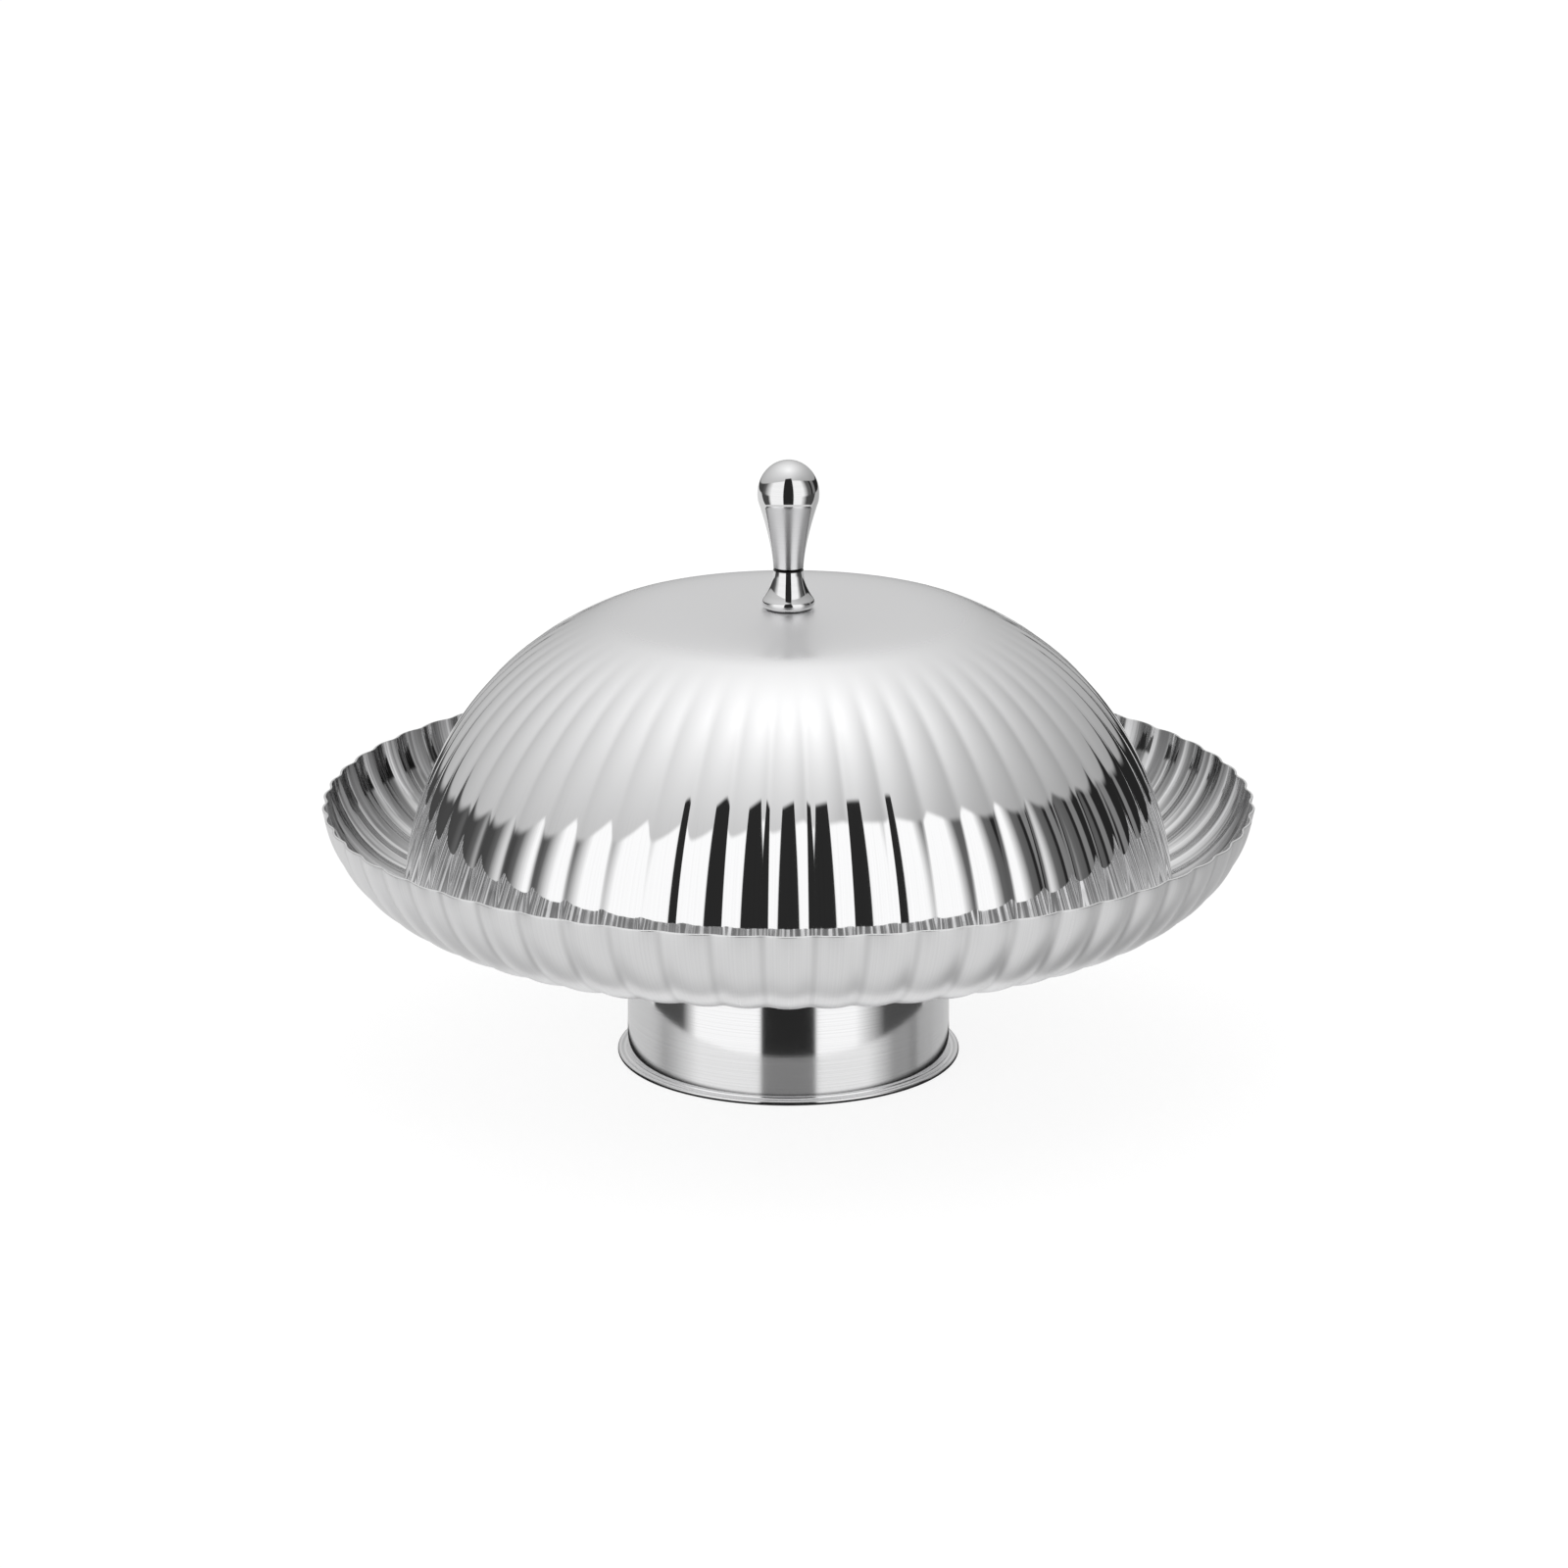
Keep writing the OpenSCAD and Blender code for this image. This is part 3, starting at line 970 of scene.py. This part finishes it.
@dataclass
class Knob:
    """Turned knob: a waisted ferrule, a grip with an egg-shaped head, and the screw that holds them.

    Attributes:
        seat_height: Height of the flat that the knob stands on.
        ferrule_height: Height of the ferrule.
        lip_diameter, lip_radius: Diameter and rounding of the ferrule's foot.
        neck_diameter: Diameter at the seam.
        grip_height: Height of the grip.
        head_diameter: Diameter of the head.
        head_rise: Height of the head over its widest place.
        brow_drop: Drop of the crease under the head from its widest place.
        seam_bevel: Bevel at the seam.
        ferrule_bore, grip_bore: Diameters of the bores.
        bore_depth: Depth of the grip's bore.
        taper_power: How hollow the grip's taper is.
        columns, arc_rows: Steps of the mesh.
        crease: Angle past which an edge stays sharp.
    """

    seat_height: float
    ferrule_height: float = 0.0165
    lip_diameter: float = 0.0214
    lip_radius: float = 0.0025
    neck_diameter: float = 0.0123
    grip_height: float = 0.0445
    head_diameter: float = 0.025
    head_rise: float = 0.0137
    brow_drop: float = 0.0033
    seam_bevel: float = 0.0005
    ferrule_bore: float = 0.0055
    grip_bore: float = 0.0051
    bore_depth: float = 0.014
    taper_power: float = 1.5
    columns: int = 128
    arc_rows: int = 24
    crease: float = 14.0

    @property
    def seam_height(self) -> float:
        """Height of the seam between ferrule and grip."""
        return self.seat_height + self.ferrule_height

    def ferrule_section(self) -> list[Point]:
        """Closed section of the ferrule.

        Returns:
            Its points. The hollow side runs tangent into the rounded lip.
        """
        base = self.seat_height
        neck = self.neck_diameter / 2
        lip_x = self.lip_diameter / 2 - self.lip_radius
        rise = self.ferrule_height - self.seam_bevel - self.lip_radius
        hollow = self.lip_radius + lip_x - neck
        waist = (rise**2 + (neck - lip_x) ** 2 - self.lip_radius**2) / (2 * hollow)
        meet = math.degrees(math.atan2(rise, neck + waist - lip_x))
        bore = self.ferrule_bore / 2
        return [
            (bore, base),
            *arc((lip_x, base + self.lip_radius), self.lip_radius, -90, meet, self.arc_rows)[:-1],
            *arc((neck + waist, self.seam_height - self.seam_bevel), waist, 180 + meet, 180, self.arc_rows),
            (neck - self.seam_bevel, self.seam_height),
            (bore, self.seam_height),
            (bore, base),
        ]

    def grip_section(self) -> list[Point]:
        """Section of the grip.

        Returns:
            Its points, from the end of the bore, down and round to the top of the head.
        """
        base = self.seam_height
        neck = self.neck_diameter / 2
        head = self.head_diameter / 2
        head_z = base + self.grip_height - self.head_rise
        brow = math.degrees(math.asin(self.brow_drop / self.head_rise))
        crease_r, crease_z = head * cos(brow), head_z - self.brow_drop
        taper_z = base + self.seam_bevel
        bore = self.grip_bore / 2
        return [
            (0.0, base + self.bore_depth),
            (bore, base + self.bore_depth),
            (bore, base),
            (neck - self.seam_bevel, base),
            *[
                (neck + (crease_r - neck) * s**self.taper_power, taper_z + (crease_z - taper_z) * s)
                for s in steps(0, 1, self.arc_rows)
            ],
            *[
                (head * cos(angle), head_z + self.head_rise * sin(angle))
                for angle in steps(-brow, 90, 2 * self.arc_rows)[1:-1]
            ],
            (0.0, base + self.grip_height),
        ]

    def build(self) -> None:
        """Builds and dresses the knob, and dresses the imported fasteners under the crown."""
        # The knob's finish paints a dark shadow line at the seam.
        finish = replace(KNOB_STEEL, seam=self.seam_height).material()
        for name, node, section in (
            ("turned_ferrule", "knob_ferrule", self.ferrule_section()),
            ("turned_grip", "knob_grip", self.grip_section()),
        ):
            piece = Bench.draw(name, section)
            Bench.turn(self.columns)
            Bench.dress(piece, finish)
            Bench.smooth(piece, self.crease)
            Bench.deliver(piece, node, "knob_steel", Body.LID)
        plain = FASTENER_STEEL.material()
        for node in ("knob_screw", "knob_washer", "knob_lock_washer"):
            Bench.dress(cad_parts[node], plain)
            log.info("%s: packed node, dressed", node)


@dataclass
class Camera:
    """Camera at the photograph's viewing angle, with its image in pixels and its sensor in millimetres."""

    elevation: float = 16.5
    distance: float = 2.0
    aim_height: float = 0.1
    image: float = 1600.0
    focal_pixels: float = 4984.0
    aim_pixel: Point = (804.5, 834.0)
    sensor: float = 36.0

    def build(self) -> None:
        """Sets up the camera."""
        lens = bpy.data.cameras.new("camera")
        lens.sensor_width = self.sensor
        lens.lens = self.focal_pixels / self.image * self.sensor
        lens.shift_x = 0.5 - self.aim_pixel[0] / self.image
        lens.shift_y = self.aim_pixel[1] / self.image - 0.5
        camera = bpy.data.objects.new("camera", lens)
        back = Vector((0, -cos(self.elevation), sin(self.elevation)))
        camera.location = Vector((0, 0, self.aim_height)) + back * self.distance
        camera.rotation_euler = (math.radians(90 - self.elevation), 0, 0)
        bpy.context.scene.collection.objects.link(camera)
        bpy.context.scene.camera = camera


@dataclass
class Studio:
    """White studio: soft panels beside a dark gap at the camera, grey sides and a falling ceiling.

    Heights are degrees over the horizon. Azimuths run from the camera's side, positive to the right. An
    edge is the middle and the half-width of a soft step.

    Attributes:
        walls: Azimuths in rising order, each with the walls' light.
        low_walls: The same below the low edge.
        low_edge: Height at which the low walls end.
        wall_top: Height of the walls' top at the sides.
        wall_top_front: Rise of the walls' top towards the camera.
        wall_top_bow: Bow of that rise.
        wall_top_right: Rise of the walls' top to the right.
        gap_angle, gap_softness, gap_rise: Azimuth, softness and height of the step in the top at the gap.
        wall_foot, back_foot: Heights of the walls' foot, and of the same at the back.
        back_edge: Share of the way to the camera below which the back begins.
        edge: Softness of the walls' top and foot.
        horizon: Light of the ceiling at the horizon.
        climb: Rise of the ceiling's light for each degree of height.
        arch, back_glow: Rise of the climb with the height, and towards the back.
        right_shade, right_edge: Loss of the ceiling's light at the right, and where it is lost.
        ground: Light of the ground.
        under_shade, under_back, under_down: Loss of the ground's light straight below, and where.
        corner_shade, corner_back, corner_right: Loss of its light at the back and right, and where.
        floor_size, floor_shade: Width and lightness of the floor.
        floor_lift: Light that makes the floor white where it is seen.
        table_light: Light of the table where metal mirrors it.
        table_edge, table_back: Radius of that table, and its place behind the dish's axis.
        table_gloss, table_roughness: Strength and roughness of the table's own reflection.
        contact_edge, contact_shade: Radius and lightness of the painted shadow on the table under the foot.
    """

    walls: Sequence[Point] = (
        (-180, 0.05), (-114, 0.07), (-98, 0.14), (-66, 1.10), (-20, 1.10), (-18.5, 0.024),
        (18.5, 0.024), (20, 1.10), (58, 1.10), (80, 0.14), (95, 0.11), (96.5, 0.02),
        (103, 0.02), (105, 0.24), (118, 0.22), (120, 0.02), (158, 0.02), (180, 0.05),
    )
    low_walls: Sequence[Point] = (
        (-180, 0.05), (-80, 0.08), (-68, 1.10), (-20, 1.10), (-18.5, 0.024), (18.5, 0.024),
        (20, 1.10), (48, 1.10), (72, 0.08), (180, 0.05),
    )
    low_edge: SoftEdge = (-5.0, 3.0)
    wall_top: float = 26.0
    wall_top_front: float = 26.0
    wall_top_bow: float = -3.0
    wall_top_right: float = 3.5
    gap_angle: float = 19.2
    gap_softness: float = 0.002
    gap_rise: float = 8.0
    wall_foot: float = -27.0
    back_foot: float = -6.0
    back_edge: SoftEdge = (-0.35, 0.15)
    edge: float = 1.2
    horizon: float = 0.49
    climb: float = 0.0040
    arch: float = 0.000045
    back_glow: float = 0.003
    right_shade: float = 0.19
    right_edge: SoftEdge = (0.45, 0.45)
    ground: float = 0.78
    under_shade: float = 0.24
    under_back: SoftEdge = (0.1, 0.25)
    under_down: SoftEdge = (-0.7, 0.15)
    corner_shade: float = 0.28
    corner_back: SoftEdge = (0.2, 0.3)
    corner_right: SoftEdge = (0.3, 0.3)
    floor_size: float = 14.0
    floor_shade: float = 0.30
    floor_lift: float = 0.82
    table_light: float = 0.90
    table_edge: SoftEdge = (0.154, 0.002)
    table_back: float = 0.013
    table_gloss: float = 1.05
    table_roughness: float = 0.2
    # Painted shadow under the foot, which only metal sees in the table.
    contact_edge: SoftEdge = (0.080, 0.004)
    contact_shade: float = 0.05

    def wall_light(self, graph: Graph, turn: Wire, height: Wire) -> Wire:
        """Light of the walls.

        Args:
            graph: The room's nodes.
            turn: Place round the room, from 0 to 1.
            height: Height over the horizon.

        Returns:
            The light at the place.
        """
        high, low = (
            graph.ramp(turn, [(azimuth / 360 + 0.5, light) for azimuth, light in stops])
            for stops in (self.walls, self.low_walls)
        )
        return high.towards(low, height.below(*self.low_edge))

    def top_height(self, right: Wire, front: Wire) -> Wire:
        """Height of the walls' top.

        Args:
            right: Share of the way to the right.
            front: Share of the way to the camera.

        Returns:
            The height, which rises to the camera and steps up over the gap.
        """
        top = self.wall_top + front * (self.wall_top_front + front * self.wall_top_bow)
        step = front.above(cos(self.gap_angle), self.gap_softness) * self.gap_rise
        return top + right * self.wall_top_right + step

    def ceiling_light(self, x: Wire, y: Wire, height: Wire) -> Wire:
        """Light of the ceiling in a direction."""
        light = self.horizon + height * (self.climb + height * self.arch + y * self.back_glow)
        return light - x.above(*self.right_edge) * self.right_shade

    def ground_light(self, x: Wire, y: Wire, z: Wire) -> Wire:
        """Light of the ground in a direction.

        Args:
            x: The direction's share to the right.
            y: The direction's share to the back.
            z: The direction's share upwards.

        Returns:
            The light, which is less straight below and in the corner at the back and right.
        """
        under = y.above(*self.under_back) * z.below(*self.under_down) * self.under_shade
        corner = y.above(*self.corner_back) * x.above(*self.corner_right) * self.corner_shade
        return self.ground - under - corner

    def room(self) -> None:
        """Makes the room: white for the camera, and the studio for everything that is lit."""
        world = bpy.data.worlds.new("studio")
        bpy.context.scene.world = world
        world.use_nodes = True
        graph = Graph(world.node_tree)
        x, y, z = graph.axes(graph.node("ShaderNodeTexCoord", out="Generated"))
        turn = graph.maths("ARCTAN2", x, -y) / math.tau + 0.5
        height = graph.maths("ARCSINE", z) * (180 / math.pi)
        reach = graph.radius(x, y)
        front = -y / reach
        top = self.top_height(x / reach, front)
        foot = self.wall_foot + front.below(*self.back_edge) * (self.back_foot - self.wall_foot)
        light = self.wall_light(graph, turn, height)
        light = light.towards(self.ceiling_light(x, y, height), (height - top).above(0, self.edge))
        light = light.towards(self.ground_light(x, y, z), (height - foot).below(0, self.edge))
        seen = graph.node("ShaderNodeLightPath", out="Is Camera Ray")
        strength = light.towards(1.0, seen)
        glow = graph.node("ShaderNodeBackground", inputs={"Color": WHITE, "Strength": strength})
        graph.node("ShaderNodeOutputWorld", inputs={"Surface": glow})

    @staticmethod
    def matt(graph: Graph, shade: float) -> Wire:
        """Matt grey of a given lightness."""
        return graph.node("ShaderNodeBsdfDiffuse", inputs={"Color": (shade, shade, shade, 1.0)})

    @staticmethod
    def mix(graph: Graph, share: Wire, first: Wire, second: Wire) -> Wire:
        """Mix of two shaders by a share."""
        return graph.node("ShaderNodeMixShader", inputs={0: share, 1: first, 2: second})

    def floor(self) -> None:
        """Lays the pale floor, white where it is seen. Metal sees it as a small glossy table."""
        bpy.ops.object.select_all(action="DESELECT")
        bpy.ops.mesh.primitive_plane_add(size=self.floor_size)
        floor = bpy.context.object
        floor.name = "floor"
        paint = bpy.data.materials.new("pale_floor")
        paint.use_nodes = True
        graph = Graph(paint.node_tree)
        x, y, _ = graph.axes(graph.node("ShaderNodeTexCoord", out="Object"))
        off_foot = graph.radius(x, y).above(*self.contact_edge)
        off_table = graph.radius(x, y - self.table_back).above(*self.table_edge)
        seen = graph.node("ShaderNodeLightPath", out="Is Camera Ray")
        mirrored = Wire(graph, seen.socket.node.outputs["Is Glossy Ray"])
        glow = seen * self.floor_lift + mirrored * self.table_light
        lift = graph.node("ShaderNodeEmission", inputs={"Strength": glow})
        pale = graph.node("ShaderNodeAddShader", inputs={0: self.matt(graph, self.floor_shade), 1: lift})
        gloss = graph.node("ShaderNodeBsdfAnisotropic", inputs={"Roughness": self.table_roughness})
        grazing = graph.node("ShaderNodeLayerWeight", out="Facing")
        table = self.mix(graph, mirrored * grazing * self.table_gloss, pale, gloss)
        # Painted shadow: a dark matt disc under the foot that only reflections see.
        foot_shadow = self.matt(graph, self.contact_shade)
        table = self.mix(graph, mirrored * (1.0 - off_foot), table, foot_shadow)
        clear = graph.node("ShaderNodeBsdfTransparent")
        surface = self.mix(graph, mirrored * off_table, table, clear)
        graph.node("ShaderNodeOutputMaterial", inputs={"Surface": surface})
        floor.data.materials.append(paint)

    def build(self) -> None:
        """Sets up the room, the floor and the plain view settings."""
        self.room()
        self.floor()
        bpy.context.scene.view_settings.view_transform = "Standard"


def main() -> None:
    """Builds the dish, foot, lid and knob, then the camera and the studio."""
    logging.basicConfig(level=logging.INFO, format="%(name)s: %(message)s")
    dish = Dish()
    lid = Lid(dish)
    dish.build()
    Foot(dish.floor_height).build()
    lid.build()
    Knob(lid.seat_height).build()
    Camera().build()
    Studio().build()


if __name__ == "__main__":
    main()
